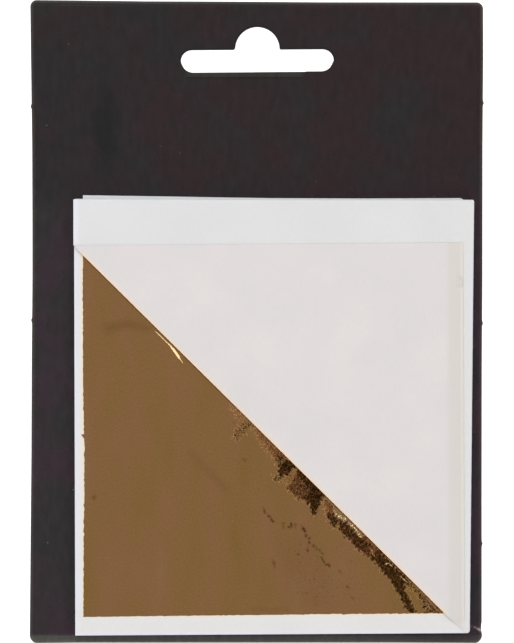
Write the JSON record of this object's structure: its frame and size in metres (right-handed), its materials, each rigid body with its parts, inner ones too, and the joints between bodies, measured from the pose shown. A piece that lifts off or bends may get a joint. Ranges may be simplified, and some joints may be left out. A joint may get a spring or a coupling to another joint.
{
  "type": "gold leaf booklet",
  "caption": "Booklet of square gold leaves between tissue sheets glued along the top, its front sheet folded back on a diagonal, fixed to a black hanging card with a slot.",
  "frame": {"origin": "middle of the backing card's back face, which is the bottom of the whole object as it lies flat", "axes": "+X to the right of the card as read from the front, +Y towards the hanging slot, +Z out of the front"},
  "size_m": [0.1, 0.1424, 0.0032],
  "materials": {
    "black_board": "gloss laminated black board",
    "clear_tape": "matt double-sided tape",
    "cover_paper": "smooth uncoated paper",
    "white_tissue": "matt white tissue",
    "dried_glue": "dried padding glue",
    "gold_leaf": "bright beaten metal leaf"
  },
  "bodies": {
    "card": {"backing_card": "black_board", "upper_tape": "clear_tape", "lower_tape": "clear_tape"},
    "booklet": {"back_cover": "cover_paper", "glued_margins": "white_tissue", "spine_glue": "dried_glue"},
    "front_page": {"front_tissue": "white_tissue"},
    "turned_flap": {"front_flap": "white_tissue"},
    "page_01": {"tissue_01": "white_tissue"},
    "page_02": {"tissue_02": "white_tissue", "gold_leaf_02": "gold_leaf"},
    "page_03": {"tissue_03": "white_tissue", "gold_leaf_03": "gold_leaf"},
    "page_04": {"tissue_04": "white_tissue", "gold_leaf_04": "gold_leaf"},
    "page_05": {"tissue_05": "white_tissue", "gold_leaf_05": "gold_leaf"},
    "page_06": {"tissue_06": "white_tissue", "gold_leaf_06": "gold_leaf"},
    "page_07": {"tissue_07": "white_tissue", "gold_leaf_07": "gold_leaf"},
    "page_08": {"tissue_08": "white_tissue", "gold_leaf_08": "gold_leaf"},
    "page_09": {"tissue_09": "white_tissue", "gold_leaf_09": "gold_leaf"},
    "page_10": {"tissue_10": "white_tissue", "gold_leaf_10": "gold_leaf"},
    "loose_leaf": {"gold_leaf_01": "gold_leaf"}
  },
  "joints": [
    {"name": "booklet_lift", "type": "slide", "parent": "card", "child": "booklet", "axis": [0, 0, 1], "range_m": [0, 0.03]},
    {"name": "front_page_turn", "type": "hinge", "parent": "booklet", "child": "front_page", "pos_m": [0, 0.0185, 0.00307], "axis": [-1, 0, 0], "range_deg": [0, 165]},
    {"name": "flap_unfold", "type": "hinge", "parent": "front_page", "child": "turned_flap", "pos_m": [-0.04077, 0.0171, 0.00308], "axis": [0.7108, -0.7034, 0], "range_deg": [0, 180]},
    {"name": "leaf_draw", "type": "slide", "parent": "page_01", "child": "loose_leaf", "axis": [0, -1, 0], "range_m": [0, 0.088]},
    {"name": "page_turn_01", "type": "hinge", "parent": "booklet", "child": "page_01", "pos_m": [0, 0.0185, 0.00307], "axis": [-1, 0, 0], "range_deg": [0, 150]},
    {"name": "page_turn_02", "type": "hinge", "parent": "booklet", "child": "page_02", "pos_m": [0, 0.0185, 0.00307], "axis": [-1, 0, 0], "range_deg": [0, 135]},
    {"name": "page_turn_03", "type": "hinge", "parent": "booklet", "child": "page_03", "pos_m": [0, 0.0185, 0.00307], "axis": [-1, 0, 0], "range_deg": [0, 120]},
    {"name": "page_turn_04", "type": "hinge", "parent": "booklet", "child": "page_04", "pos_m": [0, 0.0185, 0.00307], "axis": [-1, 0, 0], "range_deg": [0, 105]},
    {"name": "page_turn_05", "type": "hinge", "parent": "booklet", "child": "page_05", "pos_m": [0, 0.0185, 0.00307], "axis": [-1, 0, 0], "range_deg": [0, 90]},
    {"name": "page_turn_06", "type": "hinge", "parent": "booklet", "child": "page_06", "pos_m": [0, 0.0185, 0.00307], "axis": [-1, 0, 0], "range_deg": [0, 75]},
    {"name": "page_turn_07", "type": "hinge", "parent": "booklet", "child": "page_07", "pos_m": [0, 0.0185, 0.00307], "axis": [-1, 0, 0], "range_deg": [0, 60]},
    {"name": "page_turn_08", "type": "hinge", "parent": "booklet", "child": "page_08", "pos_m": [0, 0.0185, 0.00307], "axis": [-1, 0, 0], "range_deg": [0, 45]},
    {"name": "page_turn_09", "type": "hinge", "parent": "booklet", "child": "page_09", "pos_m": [0, 0.0185, 0.00307], "axis": [-1, 0, 0], "range_deg": [0, 30]},
    {"name": "page_turn_10", "type": "hinge", "parent": "booklet", "child": "page_10", "pos_m": [0, 0.0185, 0.00307], "axis": [-1, 0, 0], "range_deg": [0, 15]}
  ],
  "couplings": [
    {"joint": "page_turn_01", "follows": "front_page_turn", "ratio": 0.90909},
    {"joint": "page_turn_02", "follows": "front_page_turn", "ratio": 0.81818},
    {"joint": "page_turn_03", "follows": "front_page_turn", "ratio": 0.72727},
    {"joint": "page_turn_04", "follows": "front_page_turn", "ratio": 0.63636},
    {"joint": "page_turn_05", "follows": "front_page_turn", "ratio": 0.54545},
    {"joint": "page_turn_06", "follows": "front_page_turn", "ratio": 0.45455},
    {"joint": "page_turn_07", "follows": "front_page_turn", "ratio": 0.36364},
    {"joint": "page_turn_08", "follows": "front_page_turn", "ratio": 0.27273},
    {"joint": "page_turn_09", "follows": "front_page_turn", "ratio": 0.18182},
    {"joint": "page_turn_10", "follows": "front_page_turn", "ratio": 0.090909}
  ]
}
